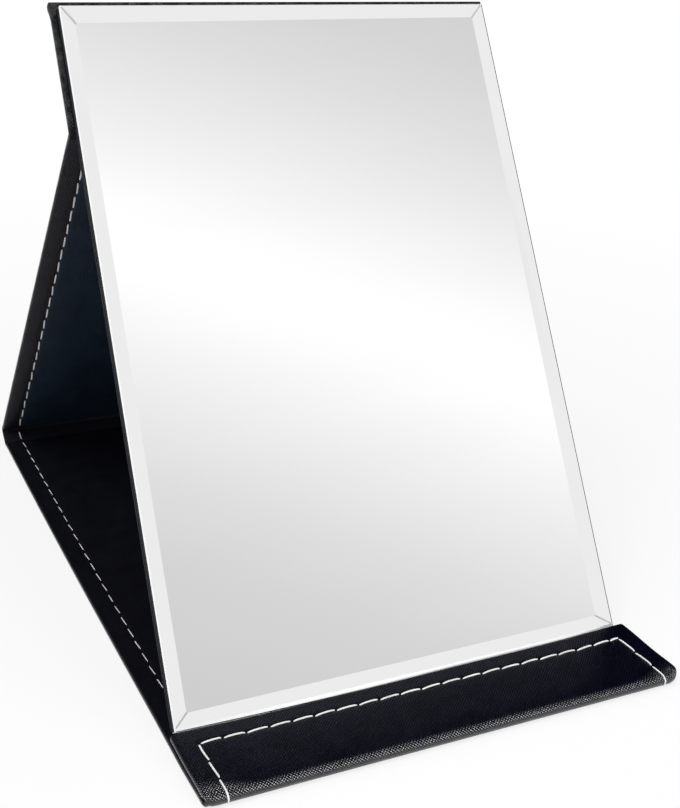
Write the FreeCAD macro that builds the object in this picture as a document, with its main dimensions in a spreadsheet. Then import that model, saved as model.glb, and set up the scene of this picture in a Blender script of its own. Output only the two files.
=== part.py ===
# Folding makeup mirror.
# A bevelled glass on a backing board hangs in a leather-look cover. The cover's boarded
# panels fold into the stand: strip behind the glass, leg, narrow spine, base and front flap.
# Frame: +X to the right, +Y to the back, +Z up, the table at zero height, millimetres.

import FreeCAD
import Part
import Sketcher
import math
import os

doc = FreeCAD.newDocument("folding_mirror")

# Driving dimensions
SIZES = (
    ("cover_width", 203.6),
    ("stand_right_trim", 3.2),
    ("skin_thickness", 0.6),
    ("board_thickness", 1.2),
    ("lining_thickness", 0.6),
    ("skin_edge_radius", 0.8),
    ("lining_edge_radius", 0.4),
    ("panel_corner_radius", 1.5),
    ("glass_width", 195.0),
    ("glass_height", 282.0),
    ("glass_thickness", 3.0),
    ("glass_side_shift", 2.4),
    ("bevel_width", 6.2),
    ("bevel_depth", 1.0),
    ("tape_thickness", 0.4),
    ("tape_inset", 5.0),
    ("back_board_thickness", 1.5),
    ("back_wrap_thickness", 0.5),
    ("back_edge_radius", 0.3),
    ("glue_thickness", 0.6),
    ("glue_inset", 4.0),
    ("strip_height", 50.0),
    ("strip_overhang", 4.1),
    ("foot_reach", 256.0),
    ("spine_width", 6.5),
    ("flap_reach", 33.8),
    ("flap_foot_gap", 0.4),
    ("fold_gap", 0.6),
    ("crease_setback", 0.5),
    ("thread_diameter", 0.8),
    ("thread_proud", 0.2),
    ("stitch_pitch", 9.0),
    ("stitch_length", 7.2),
    ("stitch_slant", 4.0),
    ("seam_side_inset", 8.5),
    ("seam_end_inset", 8.2),
    ("channel_width", 1.6),
    ("channel_depth", 0.3),
    ("magnet_length", 20.0),
    ("magnet_width", 8.0),
    ("magnet_spread", 120.0),
    ("magnet_end_inset", 11.0),
    ("magnet_clearance", 0.1),
)

# Dimensions that follow from the driving ones
DERIVED = (
    ("panel_thickness", "=skin_thickness + board_thickness + lining_thickness"),
    ("tray_height", "=skin_thickness + board_thickness"),
    ("ply_thickness", "=skin_thickness + lining_thickness"),
    ("rear_fold_radius", "=panel_thickness + fold_gap"),
    ("front_fold_radius", "=panel_thickness + fold_gap / 2"),
    ("hinge_height", "=glass_height - strip_height"),
    ("hinge_depth", "=panel_thickness + glue_thickness"),
    ("wrap_height", "=back_wrap_thickness + back_board_thickness"),
    ("glass_level", "=back_wrap_thickness + back_board_thickness + tape_thickness"),
    ("mirror_thickness", "=glass_level + glass_thickness"),
    ("stand_width", "=cover_width - stand_right_trim"),
    ("strip_length", "=strip_height + strip_overhang - crease_setback"),
    ("flap_length", "=flap_reach - crease_setback"),
    ("spine_length", "=spine_width - 2 * crease_setback"),
)

sheet = doc.addObject("Spreadsheet::Sheet", "Sizes")
sheet_row = 0


def add_cell(name, text):
    """Put one named value on the next row of the sheet."""
    global sheet_row
    sheet_row += 1
    sheet.set("A%d" % sheet_row, name)
    sheet.set("B%d" % sheet_row, text)
    sheet.setAlias("B%d" % sheet_row, name)


for size_name, number in SIZES:
    add_cell(size_name, str(number))
for size_name, formula in DERIVED:
    add_cell(size_name, formula)
doc.recompute()


def size(name):
    return float(sheet.get(name))


def on_plane(angle, reach, start=(0, 0)):
    """Point in the side view (y, z), a reach away from the start along an angle in degrees."""
    turn = math.radians(angle)
    return (start[0] + reach * math.cos(turn), start[1] + reach * math.sin(turn))


# Side view of the stand. The mirror's back bottom edge is its foot, and it stands as high
# as the rear fold's axis, so the leg and the mirror make two equal sides of a triangle.
panel = size("panel_thickness")
setback = size("crease_setback")
fold_height = panel + size("fold_gap")
foot = (0, fold_height)
rear_axis = (size("foot_reach"), fold_height)
arm = math.hypot(size("hinge_height"), size("hinge_depth"))
arm_angle = math.degrees(math.acos(size("foot_reach") / (2 * arm)))
hinge_turn = math.degrees(math.atan2(size("hinge_depth"), size("hinge_height")))
mirror_angle = arm_angle + hinge_turn
top_axis = on_plane(arm_angle, arm, foot)

# The spine's slope is half of the angle between mirror and leg, so the spine lies flat
# once the two have swung together. The leg's own slope depends on it, hence the loop.
SETTLE_ROUNDS = 30
HALF_TURN = math.degrees(math.pi)
QUARTER_TURN = HALF_TURN / 2
THIRD_TURN = HALF_TURN * 2 / 3
spine_angle = HALF_TURN - QUARTER_TURN - arm_angle
leg_angle = arm_angle
leg_run = arm
for settle_round in range(SETTLE_ROUNDS):
    leg_axis = on_plane(spine_angle, size("spine_width"), rear_axis)
    rise = top_axis[1] - leg_axis[1]
    run = leg_axis[0] - top_axis[0]
    leg_run = math.sqrt(rise * rise + run * run - fold_height * fold_height)
    leg_angle = math.degrees(math.atan2(rise, run) - math.atan2(fold_height, leg_run))
    spine_angle = (HALF_TURN - mirror_angle - leg_angle) / 2
leg_fold_angle = HALF_TURN - leg_angle - spine_angle
top_fold_angle = HALF_TURN - leg_angle - mirror_angle

# The front fold's axis, and the shift that puts the origin under the middle of the object
flap_edge = -panel * math.tan(math.radians(mirror_angle)) - size("flap_foot_gap")
front_axis = (flap_edge - size("flap_reach"), panel + size("fold_gap") / 2)
front_most = front_axis[0] - size("front_fold_radius")
rear_most = leg_axis[0] + size("rear_fold_radius")
middle = (front_most + rear_most) / 2

add_cell("base_length", str(rear_axis[0] - front_axis[0] - 2 * setback))
add_cell("leg_length", str(leg_run - 2 * setback))
add_cell("lower_fold_angle", str(spine_angle))
add_cell("upper_fold_angle", str(leg_fold_angle))
add_cell("top_fold_angle", str(top_fold_angle))
add_cell("front_fold_angle", str(HALF_TURN))
doc.recompute()

SIDEWAYS = FreeCAD.Vector(1, 0, 0)
ALONG = FreeCAD.Vector(0, 1, 0)
DIAGONAL = FreeCAD.Vector(1, 1, 1)
TOLERANCE = 1e-4


def placed(point, angle, left):
    """Placement of a flat piece: its near left corner at a side view point, turned about X."""
    corner = FreeCAD.Vector(left, point[0] - middle, point[1])
    return FreeCAD.Placement(corner, FreeCAD.Rotation(SIDEWAYS, angle))


def under_axis(axis, angle):
    """Outer corner of a panel that starts at an axis lying over its inner face."""
    start = on_plane(angle, setback, axis)
    return on_plane(angle - QUARTER_TURN, fold_height, start)


# The glass is glued a little to the left of the cover's middle
cover_left = -size("cover_width") / 2
glass_left = -size("glass_width") / 2 - size("glass_side_shift")
strip_place = placed(on_plane(mirror_angle, setback, top_axis), mirror_angle, cover_left)
leg_place = placed(under_axis(leg_axis, HALF_TURN - leg_angle), HALF_TURN - leg_angle, cover_left)
spine_place = placed(under_axis(rear_axis, spine_angle), spine_angle, cover_left)
base_place = placed((front_axis[0] + setback, 0), 0, cover_left)
mirror_place = placed(foot, mirror_angle, glass_left)
flap_corner = FreeCAD.Vector(-cover_left, front_axis[0] + setback - middle, 2 * front_axis[1])
flap_place = FreeCAD.Placement(flap_corner, FreeCAD.Rotation(ALONG, HALF_TURN))

nodes = []


def keep(piece, label, place):
    """Name a finished piece, put it in place and list it for export."""
    piece.Label = label
    piece.Placement = place
    nodes.append(piece)


# Flat pieces are drawn with one corner at the origin: width along X, length along Y and
# the cover's outer face at zero height.
def origin_plane(body, role):
    return [item for item in body.Origin.OriginFeatures if item.Role == role][0]


def new_sketch(body, name, level):
    sketch = body.newObject("Sketcher::SketchObject", name)
    sketch.AttachmentSupport = (origin_plane(body, "XY_Plane"), [""])
    sketch.MapMode = "FlatFace"
    sketch.setExpression("AttachmentOffset.Base.z", level)
    return sketch


def add_rectangle(sketch, left, right, near, far):
    """Draw a rectangle whose four sides are bound to expressions."""
    sides = [float(sketch.evalExpression(text)) for text in (left, right, near, far)]
    low = FreeCAD.Vector(sides[0], sides[2], 0)
    high = FreeCAD.Vector(sides[1], sides[3], 0)
    corners = (low, FreeCAD.Vector(high.x, low.y, 0), high, FreeCAD.Vector(low.x, high.y, 0))
    first = sketch.GeometryCount
    for index, corner in enumerate(corners):
        sketch.addGeometry(Part.LineSegment(corner, corners[index - len(corners) + 1]), False)
    for index in range(len(corners)):
        after = first + (index + 1) % len(corners)
        sketch.addConstraint(Sketcher.Constraint("Coincident", first + index, 2, after, 1))
    for index in (0, 2):
        sketch.addConstraint(Sketcher.Constraint("Horizontal", first + index))
        sketch.addConstraint(Sketcher.Constraint("Vertical", first + index + 1))
    bind(sketch, "DistanceX", -2, first, 1, left, low.x)
    bind(sketch, "DistanceY", -1, first, 1, near, low.y)
    bind(sketch, "DistanceX", -2, first + 2, 1, right, high.x)
    bind(sketch, "DistanceY", -1, first + 2, 1, far, high.y)


def bind(sketch, kind, axis, line, point, text, number):
    """Hold a sketch point on an axis, or at an expression's distance from the origin."""
    if text == "0":
        sketch.addConstraint(Sketcher.Constraint("PointOnObject", line, point, axis))
        return
    index = sketch.addConstraint(Sketcher.Constraint(kind, -1, 1, line, point, number))
    sketch.setExpression("Constraints[%d]" % index, text)


def add_pad(body, name, sketch, height):
    feature = body.newObject("PartDesign::Pad", name)
    feature.Profile = sketch
    feature.setExpression("Length", height)
    sketch.Visibility = False
    doc.recompute()
    return feature


def add_pocket(body, name, sketch, depth, upwards=False):
    before = body.Shape.Volume
    feature = body.newObject("PartDesign::Pocket", name)
    feature.Profile = sketch
    feature.Reversed = upwards
    feature.setExpression("Length", depth)
    sketch.Visibility = False
    doc.recompute()
    if not body.Shape.Volume < before - TOLERANCE:
        raise ValueError(name + " cuts nothing")
    return feature


def add_rounding(body, name, edge_test, radius):
    """Round those edges of the body's last feature that pass a test."""
    base = body.Tip
    names = []
    for index, edge in enumerate(base.Shape.Edges):
        if edge_test([vertex.Point for vertex in edge.Vertexes]):
            names.append("Edge%d" % (index + 1))
    feature = body.newObject("PartDesign::Fillet", name)
    feature.Base = (base, names)
    feature.setExpression("Radius", radius)
    doc.recompute()
    return feature


def near(one, other):
    return abs(one - other) < TOLERANCE


def box_of(body):
    return body.Tip.Shape.BoundBox


def side_edges(body, height):
    """Test for the long outer edges of a panel at one height."""
    box = box_of(body)

    def test(points):
        level = all(near(point.z, height) for point in points)
        left = all(near(point.x, box.XMin) for point in points)
        right = all(near(point.x, box.XMax) for point in points)
        return level and (left or right)
    return test


def free_corners(body):
    """Test for the upright edges at the two corners of a panel's free end."""
    box = box_of(body)

    def test(points):
        at_end = all(near(point.y, box.YMax) for point in points)
        left = all(near(point.x, box.XMin) for point in points)
        right = all(near(point.x, box.XMax) for point in points)
        return len(points) == 2 and at_end and (left or right)
    return test


WIDE = "Sizes.cover_width"
SKIN = "Sizes.skin_thickness"


def skin_tray(node, wide, length, free_end, seam_channels=False):
    """Outer leather of a panel: a floor and turned-up edges that the board lies in."""
    body = doc.addObject("PartDesign::Body", node)
    outline = new_sketch(body, node + "_outline", "0")
    add_rectangle(outline, "0", wide, "0", length)
    add_pad(body, node + "_block", outline, "Sizes.tray_height")
    hollow = new_sketch(body, node + "_hollow", "Sizes.tray_height")
    end = length + " - " + SKIN if free_end else length
    add_rectangle(hollow, SKIN, wide + " - " + SKIN, "0", end)
    add_pocket(body, node + "_well", hollow, "Sizes.board_thickness")
    if free_end:
        add_rounding(body, node + "_corners", free_corners(body), "Sizes.panel_corner_radius")
    add_rounding(body, node + "_edges", side_edges(body, 0), "Sizes.skin_edge_radius")
    if seam_channels:
        lines = new_sketch(body, node + "_lines", "0")
        inset = "Sizes.seam_side_inset"
        half = "Sizes.channel_width / 2"
        add_rectangle(lines, inset + " - " + half, inset + " + " + half, "0", length)
        far_line = wide + " - " + inset
        add_rectangle(lines, far_line + " - " + half, far_line + " + " + half, "0", length)
        add_pocket(body, node + "_channels", lines, "Sizes.channel_depth", True)
    return body


def flat_sheet(node, wide, length, level, height, free_end=False, rounded=True):
    """A plain sheet: a lining or a single ply of leather."""
    body = doc.addObject("PartDesign::Body", node)
    outline = new_sketch(body, node + "_outline", level)
    add_rectangle(outline, "0", wide, "0", length)
    add_pad(body, node + "_sheet", outline, height)
    if free_end:
        add_rounding(body, node + "_corners", free_corners(body), "Sizes.panel_corner_radius")
    if rounded:
        top = box_of(body).ZMax
        add_rounding(body, node + "_edges", side_edges(body, top), "Sizes.lining_edge_radius")
    return body


def stiff_board(node, wide, length, free_end, magnet_windows=False):
    """Board inside a panel, with two windows where the closing magnets sit."""
    body = doc.addObject("PartDesign::Body", node)
    outline = new_sketch(body, node + "_outline", SKIN)
    end = length + " - " + SKIN if free_end else length
    add_rectangle(outline, SKIN, wide + " - " + SKIN, "0", end)
    add_pad(body, node + "_sheet", outline, "Sizes.board_thickness")
    if magnet_windows:
        windows = new_sketch(body, node + "_windows", "Sizes.tray_height")
        for sign in MAGNET_SIDES:
            spans = magnet_spans(length, sign, "Sizes.magnet_clearance")
            add_rectangle(windows, *spans)
        add_pocket(body, node + "_cutouts", windows, "Sizes.board_thickness")
    return body


# Closing magnets: two flat bars in the flap, and two more behind the strip that they meet
MAGNET_SIDES = ("-", "+")


def magnet_spans(length, sign, room):
    """Sides of one magnet's rectangle on a panel, with room around it."""
    middle_x = "Sizes.cover_width / 2 %s Sizes.magnet_spread / 2" % sign
    middle_y = length + " - Sizes.magnet_end_inset"
    half_x = " Sizes.magnet_length / 2"
    half_y = " Sizes.magnet_width / 2"
    return (middle_x + " -" + half_x + " - " + room, middle_x + " +" + half_x + " + " + room,
            middle_y + " -" + half_y + " - " + room, middle_y + " +" + half_y + " + " + room)


def magnet_pair(node, length):
    bars = []
    for index, sign in enumerate(MAGNET_SIDES):
        spans = magnet_spans(length, sign, "0")
        bar = doc.addObject("Part::Box", "%s_bar_%d" % (node, index + 1))
        bar.setExpression("Length", "Sizes.magnet_length")
        bar.setExpression("Width", "Sizes.magnet_width")
        bar.setExpression("Height", "Sizes.board_thickness")
        bar.setExpression("Placement.Base.x", spans[0])
        bar.setExpression("Placement.Base.y", spans[2])
        bar.setExpression("Placement.Base.z", SKIN)
        bars.append(bar)
    pair = doc.addObject("Part::Compound", node)
    pair.Links = bars
    doc.recompute()
    return pair


# Panels: outer leather, board and lining. All but the flap are trimmed on the right.
STAND_WIDE = "Sizes.stand_width"
STRIP = "Sizes.strip_length"
LEG = "Sizes.leg_length"
SPINE = "Sizes.spine_length"
BASE = "Sizes.base_length"
FLAP = "Sizes.flap_length"
PANELS = (
    ("strip", STAND_WIDE, STRIP, strip_place, True, True, False),
    ("leg", STAND_WIDE, LEG, leg_place, False, False, False),
    ("base", STAND_WIDE, BASE, base_place, False, False, True),
    ("flap", WIDE, FLAP, flap_place, True, True, False),
)
LINED = ("Sizes.tray_height", "Sizes.lining_thickness")
for name, wide, length, place, free_end, magnets, channels in PANELS:
    leather = skin_tray(name + "_outer_leather", wide, length, free_end, channels)
    keep(leather, name + "_outer_leather", place)
    keep(stiff_board(name + "_board", wide, length, free_end, magnets), name + "_board", place)
    keep(flat_sheet(name + "_lining", wide, length, *LINED, free_end), name + "_lining", place)
    if magnets:
        keep(magnet_pair(name + "_magnets", length), name + "_magnets", place)

# The spine has no board: its two plies of leather lie on each other
spine_skin = flat_sheet("spine_outer_leather", STAND_WIDE, SPINE, "0", SKIN, rounded=False)
keep(spine_skin, "spine_outer_leather", spine_place)
spine_lining = flat_sheet("spine_lining", STAND_WIDE, SPINE, SKIN, "Sizes.lining_thickness", rounded=False)
keep(spine_lining, "spine_lining", spine_place)

# Mirror: wrapped backing board, mounting tape and the bevelled glass
GLASS_WIDE = "Sizes.glass_width"
GLASS_TALL = "Sizes.glass_height"


def inset_rectangle(sketch, inset):
    """Rectangle inside the glass outline, the same distance from all four sides."""
    add_rectangle(sketch, inset, GLASS_WIDE + " - " + inset, inset, GLASS_TALL + " - " + inset)


def back_edges(points):
    return all(near(point.z, 0) for point in points)


wrap = doc.addObject("PartDesign::Body", "mirror_back_wrap")
wrap_outline = new_sketch(wrap, "wrap_outline", "0")
add_rectangle(wrap_outline, "0", GLASS_WIDE, "0", GLASS_TALL)
add_pad(wrap, "wrap_block", wrap_outline, "Sizes.wrap_height")
wrap_hollow = new_sketch(wrap, "wrap_hollow", "Sizes.wrap_height")
inset_rectangle(wrap_hollow, "Sizes.back_wrap_thickness")
add_pocket(wrap, "wrap_well", wrap_hollow, "Sizes.back_board_thickness")
add_rounding(wrap, "wrap_edges", back_edges, "Sizes.back_edge_radius")
keep(wrap, "mirror_back_wrap", mirror_place)

back_board = doc.addObject("PartDesign::Body", "mirror_back_board")
back_outline = new_sketch(back_board, "back_outline", "Sizes.back_wrap_thickness")
inset_rectangle(back_outline, "Sizes.back_wrap_thickness")
add_pad(back_board, "back_sheet", back_outline, "Sizes.back_board_thickness")
keep(back_board, "mirror_back_board", mirror_place)

tape = doc.addObject("PartDesign::Body", "glass_mounting_tape")
tape_outline = new_sketch(tape, "tape_outline", "Sizes.wrap_height")
inset_rectangle(tape_outline, "Sizes.tape_inset")
add_pad(tape, "tape_sheet", tape_outline, "Sizes.tape_thickness")
keep(tape, "glass_mounting_tape", mirror_place)

glass = doc.addObject("PartDesign::Body", "mirror_glass")
glass_outline = new_sketch(glass, "glass_outline", "Sizes.glass_level")
add_rectangle(glass_outline, "0", GLASS_WIDE, "0", GLASS_TALL)
add_pad(glass, "glass_plate", glass_outline, "Sizes.glass_thickness - Sizes.bevel_depth")
bevel_foot = new_sketch(glass, "bevel_foot", "Sizes.mirror_thickness - Sizes.bevel_depth")
add_rectangle(bevel_foot, "0", GLASS_WIDE, "0", GLASS_TALL)
bevel_top = new_sketch(glass, "bevel_top", "Sizes.mirror_thickness")
inset_rectangle(bevel_top, "Sizes.bevel_width")
bevel = glass.newObject("PartDesign::AdditiveLoft", "glass_bevel")
bevel.Profile = bevel_foot
bevel.Sections = [bevel_top]
bevel.Ruled = True
doc.recompute()
keep(glass, "mirror_glass", mirror_place)

# Glue sheet that holds the strip to the mirror's back, measured from the mirror's back face
glue = doc.addObject("Part::Box", "strip_glue_sheet")
glue.setExpression("Length", "Sizes.glass_width - 2 * Sizes.glue_inset")
glue.setExpression("Width", "Sizes.strip_height - 2 * Sizes.glue_inset")
glue.setExpression("Height", "Sizes.glue_thickness")
doc.recompute()
glue_start = on_plane(mirror_angle, size("hinge_height") + size("glue_inset"), foot)
glue_corner = on_plane(mirror_angle - QUARTER_TURN, size("glue_thickness"), glue_start)
keep(glue, "strip_glue_sheet", placed(glue_corner, mirror_angle, glass_left + size("glue_inset")))


# Folds: two plies of leather bent about an axis, with a short tab on each neighbouring panel
def fold_piece(node, wide, radius, angle, hollow):
    outer = doc.addObject("Part::Cylinder", node + "_bend")
    outer.setExpression("Radius", radius)
    outer.setExpression("Height", wide)
    outer.setExpression("Angle", angle)
    bend = outer
    inner_radius = "0"
    if hollow:
        inner_radius = radius + " - Sizes.ply_thickness"
        core = doc.addObject("Part::Cylinder", node + "_core")
        core.setExpression("Radius", inner_radius)
        core.setExpression("Height", wide)
        bend = doc.addObject("Part::Cut", node + "_shell")
        bend.Base = outer
        bend.Tool = core
    tabs = []
    for ending in ("first", "last"):
        tab = doc.addObject("Part::Box", "%s_%s_tab" % (node, ending))
        tab.setExpression("Length", "Sizes.ply_thickness")
        tab.setExpression("Width", "Sizes.crease_setback")
        tab.setExpression("Height", wide)
        tabs.append(tab)
    tabs[0].setExpression("Placement.Base.x", inner_radius)
    tabs[0].setExpression("Placement.Base.y", "-Sizes.crease_setback")
    tabs[1].setExpression("Placement.Base.x", "(%s) * cos(%s * 1deg)" % (inner_radius, angle))
    tabs[1].setExpression("Placement.Base.y", "(%s) * sin(%s * 1deg)" % (inner_radius, angle))
    tabs[1].setExpression("Placement.Rotation.Angle", angle)
    whole = doc.addObject("Part::MultiFuse", node)
    whole.Shapes = [bend] + tabs
    whole.Refine = True
    doc.recompute()
    return whole


def fold_place(axis, start_angle):
    """Lay a fold along X, with its first end at an angle in the side view."""
    lying = FreeCAD.Rotation(DIAGONAL, THIRD_TURN)
    turned = FreeCAD.Rotation(SIDEWAYS, start_angle).multiply(lying)
    return FreeCAD.Placement(FreeCAD.Vector(cover_left, axis[0] - middle, axis[1]), turned)


REAR_RADIUS = "Sizes.rear_fold_radius"
FRONT_RADIUS = "Sizes.front_fold_radius"
FOLDS = (
    ("lower_rear_fold_leather", STAND_WIDE, REAR_RADIUS, "Sizes.lower_fold_angle", True,
     rear_axis, -QUARTER_TURN),
    ("upper_rear_fold_leather", STAND_WIDE, REAR_RADIUS, "Sizes.upper_fold_angle", True,
     leg_axis, spine_angle - QUARTER_TURN),
    ("front_fold_leather", WIDE, FRONT_RADIUS, "Sizes.front_fold_angle", True,
     front_axis, QUARTER_TURN),
    ("top_fold_leather", STAND_WIDE, "Sizes.ply_thickness", "Sizes.top_fold_angle", False,
     top_axis, mirror_angle + QUARTER_TURN),
)
for node, wide, radius, angle, hollow, axis, start_angle in FOLDS:
    keep(fold_piece(node, wide, radius, angle, hollow), node, fold_place(axis, start_angle))


# Seams: rows of thread stitches pressed into the leather near the panels' edges
def one_stitch():
    """A stitch lying along X about the origin: a round thread that tapers into its two holes."""
    half = size("stitch_length") / 2
    thick = size("thread_diameter") / 2
    straight = half - thick
    profile = ((-half, 0), (-straight, thick), (straight, thick), (half, 0), (-half, 0))
    wire = Part.makePolygon([FreeCAD.Vector(along, out, 0) for along, out in profile])
    return Part.Face(wire).revolve(FreeCAD.Vector(0, 0, 0), SIDEWAYS, 2 * HALF_TURN)


UPRIGHT = FreeCAD.Vector(0, 0, 1)


def stitch_row(start, end, height, slant):
    """Stitches at an even pitch between two points of a panel's face, each turned by a slant."""
    way = FreeCAD.Vector(end[0] - start[0], end[1] - start[1], 0)
    count = int(way.Length / size("stitch_pitch"))
    heading = math.degrees(math.atan2(way.y, way.x)) + slant
    row = []
    for index in range(count):
        share = (2 * index + 1) / (2 * count)
        spot = FreeCAD.Vector(start[0] + way.x * share, start[1] + way.y * share, height)
        stitch = stitch_shape.copy()
        stitch.Placement = FreeCAD.Placement(spot, FreeCAD.Rotation(UPRIGHT, heading))
        row.append(stitch)
    return row


def seam(wide, length, free_end, heights):
    """Side rows of a panel, and the row across its free end, on each listed face.

    Seen from its own side, each face's stitches lean the same way.
    """
    left = size("seam_side_inset")
    right = wide - left
    last = length - size("seam_end_inset") if free_end else length
    stitches = []
    for height in heights:
        slant = size("stitch_slant") if height > panel / 2 else -size("stitch_slant")
        stitches += stitch_row((left, 0), (left, last), height, slant)
        if free_end:
            stitches += stitch_row((left, last), (right, last), height, slant)
        stitches += stitch_row((right, last), (right, 0), height, slant)
    return Part.makeCompound(stitches)


stitch_shape = one_stitch()
thread_sink = size("thread_diameter") / 2 - size("thread_proud")
inner_seam = panel - thread_sink
channel_seam = size("thread_diameter") / 2
SEAMS = (
    ("strip_stitching", "stand_width", "strip_length", True, (thread_sink,), strip_place),
    ("leg_stitching", "stand_width", "leg_length", False, (thread_sink, inner_seam), leg_place),
    ("base_stitching", "stand_width", "base_length", False, (channel_seam, inner_seam), base_place),
    ("flap_stitching", "cover_width", "flap_length", True, (thread_sink, inner_seam), flap_place),
)
for node, width_name, length_name, free_end, heights, place in SEAMS:
    rows = doc.addObject("Part::Feature", node)
    rows.Shape = seam(size(width_name), size(length_name), free_end, heights)
    keep(rows, node, place)

doc.recompute()

# Every object has to be sound before the files are written
for item in doc.Objects:
    if "Invalid" in item.State or "Error" in item.State:
        raise ValueError("not sound: " + item.Label)
os.makedirs("parts", exist_ok=True)
for piece in nodes:
    if piece.Shape.isNull() or not piece.Shape.isValid() or not piece.Shape.Solids:
        raise ValueError("no good shape: " + piece.Label)
    piece.Shape.exportStep("parts/" + piece.Label + ".step")
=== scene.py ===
# Looks of the folding makeup mirror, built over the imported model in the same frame.
# Lengths below are millimetres in a panel's own frame: x across the cover, y along the panel,
# z from the outer leather inwards. They become metres when a mesh is made.

import math

import bmesh
import bpy
import numpy as np
from mathutils import Matrix, Vector


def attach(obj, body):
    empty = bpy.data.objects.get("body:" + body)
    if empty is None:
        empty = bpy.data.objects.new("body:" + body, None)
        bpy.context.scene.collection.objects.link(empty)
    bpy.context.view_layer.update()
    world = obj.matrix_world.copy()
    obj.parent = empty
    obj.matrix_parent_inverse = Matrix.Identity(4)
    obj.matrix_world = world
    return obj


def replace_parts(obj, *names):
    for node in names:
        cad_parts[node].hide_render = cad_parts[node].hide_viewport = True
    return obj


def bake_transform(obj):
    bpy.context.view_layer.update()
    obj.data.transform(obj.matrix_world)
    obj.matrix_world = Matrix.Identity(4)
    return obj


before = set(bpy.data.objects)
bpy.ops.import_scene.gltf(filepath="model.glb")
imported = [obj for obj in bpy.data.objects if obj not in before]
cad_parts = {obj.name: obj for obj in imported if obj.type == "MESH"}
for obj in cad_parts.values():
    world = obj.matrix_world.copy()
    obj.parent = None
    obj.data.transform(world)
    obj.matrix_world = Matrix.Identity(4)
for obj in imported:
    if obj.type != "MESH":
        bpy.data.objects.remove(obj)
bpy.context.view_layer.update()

MM = 0.001
X, Y, Z = range(3)

# Sizes, the same as in the part's source
WIDTH = 203.6
STAND_WIDTH = 200.4
GLASS_WIDE = 195.0
GLASS_TALL = 282.0
GLASS_OFFSET = 2.4
THICK = 2.4
SEAM_LEVEL = 1.8
PLY = 1.2
SETBACK = 0.5
REAR_RADIUS = 3.0
NOSE_RADIUS = 2.7
SIDE_INSET = 8.5
END_INSET = 8.2
PITCH = 9.0

# Points of the side view (y, z), and the angles of the panels in it
FOOT = (-111.8691, 3.0)
REAR_LOW = (144.1309, 3.0)
REAR_HIGH = (149.5015, 6.6615)
TOP = (16.1309, 196.5174)
FRONT = (-149.8015, 2.7)
MIRROR_ANGLE = 57.2586
LEG_ANGLE = 125.8282
SPINE_ANGLE = 34.2848

# Width and length of each panel
SPANS = {
    "base": (STAND_WIDTH, 292.9324),
    "leg": (STAND_WIDTH, 231.0),
    "strip": (STAND_WIDTH, 53.6),
    "flap": (WIDTH, 33.3),
    "spine": (STAND_WIDTH, 5.5),
}


def heading(angle):
    """Unit vector of the side view (y, z) at an angle in degrees."""
    return np.array((math.cos(math.radians(angle)), math.sin(math.radians(angle))))


def flat_frame(point, angle, left=-WIDTH / 2):
    """Origin and axes of a flat piece that starts at a side view point."""
    y_way = heading(angle)
    axes = np.array(((1, 0, 0), (0, *y_way), (0, -y_way[1], y_way[0])))
    return np.array((left, *point)), axes


def under_axis(axis, angle):
    """Start of a panel's outer face beside a rear crease."""
    return np.array(axis) + SETBACK * heading(angle) + REAR_RADIUS * heading(angle - 90)


FRAMES = {
    "strip": flat_frame(np.array(TOP) + SETBACK * heading(MIRROR_ANGLE), MIRROR_ANGLE),
    "leg": flat_frame(under_axis(REAR_HIGH, LEG_ANGLE), LEG_ANGLE),
    "spine": flat_frame(under_axis(REAR_LOW, SPINE_ANGLE), SPINE_ANGLE),
    "base": flat_frame((FRONT[0] + SETBACK, 0), 0),
    "flap": (np.array((WIDTH / 2, FRONT[0] + SETBACK, 2 * NOSE_RADIUS)),
             np.diag((-1.0, 1.0, -1.0))),
    "mirror": flat_frame(FOOT, MIRROR_ANGLE, -GLASS_WIDE / 2 - GLASS_OFFSET),
}


def to_row(points, name):
    """Points of a flat piece in the part's frame."""
    origin, axes = FRAMES[name]
    return origin + points @ axes


def fade(value, reach):
    """Smooth rise from 0 to 1 as a value goes from 0 to its reach."""
    share = np.clip(value / reach, 0, 1)
    return share * share * (3 - 2 * share)


def round_pair(points, one, one_at, one_way, two, two_at, two_way, radius):
    """Round the edge between two faces; a way of 1 points from the face into the body."""
    a = np.clip(radius - (points[:, one] - one_at) * one_way, 0, radius)
    b = np.clip(radius - (points[:, two] - two_at) * two_way, 0, radius)
    share = np.maximum(a, b) / np.maximum(np.hypot(a, b), 1e-9)
    share = np.where((a > 0) & (b > 0), share, 1)
    points[:, one] += one_way * a * (1 - share)
    points[:, two] += two_way * b * (1 - share)


# Materials
SOFT = {"interpolation_type": "SMOOTHSTEP"}


def add(tree, kind, sockets=None, **settings):
    """Add a shader node; a socket given as a value is linked when it is another node's output."""
    node = tree.nodes.new("ShaderNode" + kind)
    for key, value in settings.items():
        setattr(node, key, value)
    for key, value in (sockets or {}).items():
        if isinstance(value, bpy.types.NodeSocket):
            tree.links.new(value, node.inputs[key])
        else:
            node.inputs[key].default_value = value
    return node


def maths(tree, operation, *values):
    return add(tree, "Math", dict(enumerate(values)), operation=operation).outputs[0]


def vector_maths(tree, operation, sockets, result="Vector"):
    return add(tree, "VectorMath", sockets, operation=operation).outputs[result]


def noise(tree, place, scale, detail, rough=0.5):
    sockets = {"Vector": place, "Scale": scale, "Detail": detail, "Roughness": rough}
    return add(tree, "TexNoise", sockets).outputs


def spread(tree, value, low, high, start=0.0, end=1.0, **settings):
    """A value that goes from low to high while another goes from start to end."""
    sockets = {"Value": value, "From Min": start, "From Max": end, "To Min": low, "To Max": high}
    return add(tree, "MapRange", sockets, **settings).outputs["Result"]


def mix(tree, share, one, two):
    return add(tree, "Mix", {0: share, 2: one, 3: two}).outputs[0]


def mix_colours(tree, share, one, two):
    return add(tree, "Mix", {0: share, 6: one, 7: two}, data_type="RGBA").outputs[2]


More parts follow.
